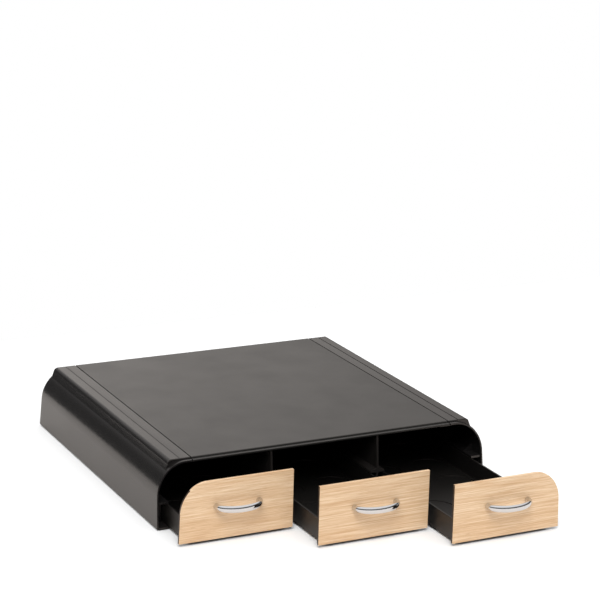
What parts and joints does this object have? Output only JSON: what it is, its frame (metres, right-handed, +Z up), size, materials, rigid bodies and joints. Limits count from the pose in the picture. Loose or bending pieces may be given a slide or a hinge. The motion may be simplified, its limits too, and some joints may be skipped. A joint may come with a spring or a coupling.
{
  "type": "coffee pod drawer",
  "caption": "Low moulded case with wood-faced drawers side by side for single-serve coffee pods, bow pulls, and a flat top that a coffee machine stands on.",
  "frame": {"origin": "centre of the case's footprint on the surface it stands on, in the plane of the rubber feet", "axes": "+Z up, drawers open towards -Y, +X to the right of someone facing the drawers"},
  "size_m": [0.3436, 0.4723, 0.0628],
  "materials": {
    "case_black_plastic": "satin-gloss moulded black",
    "inner_black_plastic": "satin moulded black",
    "front_board": "pale oak face with fine horizontal grain, dark cut edges",
    "pull_chrome": "bright plated",
    "screw_steel": "zinc plated",
    "rubber": "matt"
  },
  "bodies": {
    "case": {"left_side_shell": "case_black_plastic", "right_side_shell": "case_black_plastic", "top_panel": "case_black_plastic", "back_panel": "case_black_plastic", "base_plate": "inner_black_plastic", "left_divider": "inner_black_plastic", "right_divider": "inner_black_plastic", "rubber_feet": "rubber", "base_screws": "screw_steel", "back_screws": "screw_steel"},
    "left_drawer": {"left_tray": "inner_black_plastic", "left_front": "front_board", "left_pull": "pull_chrome", "left_pull_screws": "screw_steel"},
    "middle_drawer": {"middle_tray": "inner_black_plastic", "middle_front": "front_board", "middle_pull": "pull_chrome", "middle_pull_screws": "screw_steel"},
    "right_drawer": {"right_tray": "inner_black_plastic", "right_front": "front_board", "right_pull": "pull_chrome", "right_pull_screws": "screw_steel"}
  },
  "joints": [
    {"name": "left_drawer_slide", "type": "slide", "parent": "case", "child": "left_drawer", "axis": [0, -1, 0], "range_m": [-0.0443, 0.1757]},
    {"name": "middle_drawer_slide", "type": "slide", "parent": "case", "child": "middle_drawer", "axis": [0, -1, 0], "range_m": [-0.094, 0.126]},
    {"name": "right_drawer_slide", "type": "slide", "parent": "case", "child": "right_drawer", "axis": [0, -1, 0], "range_m": [-0.1367, 0.0833]}
  ]
}
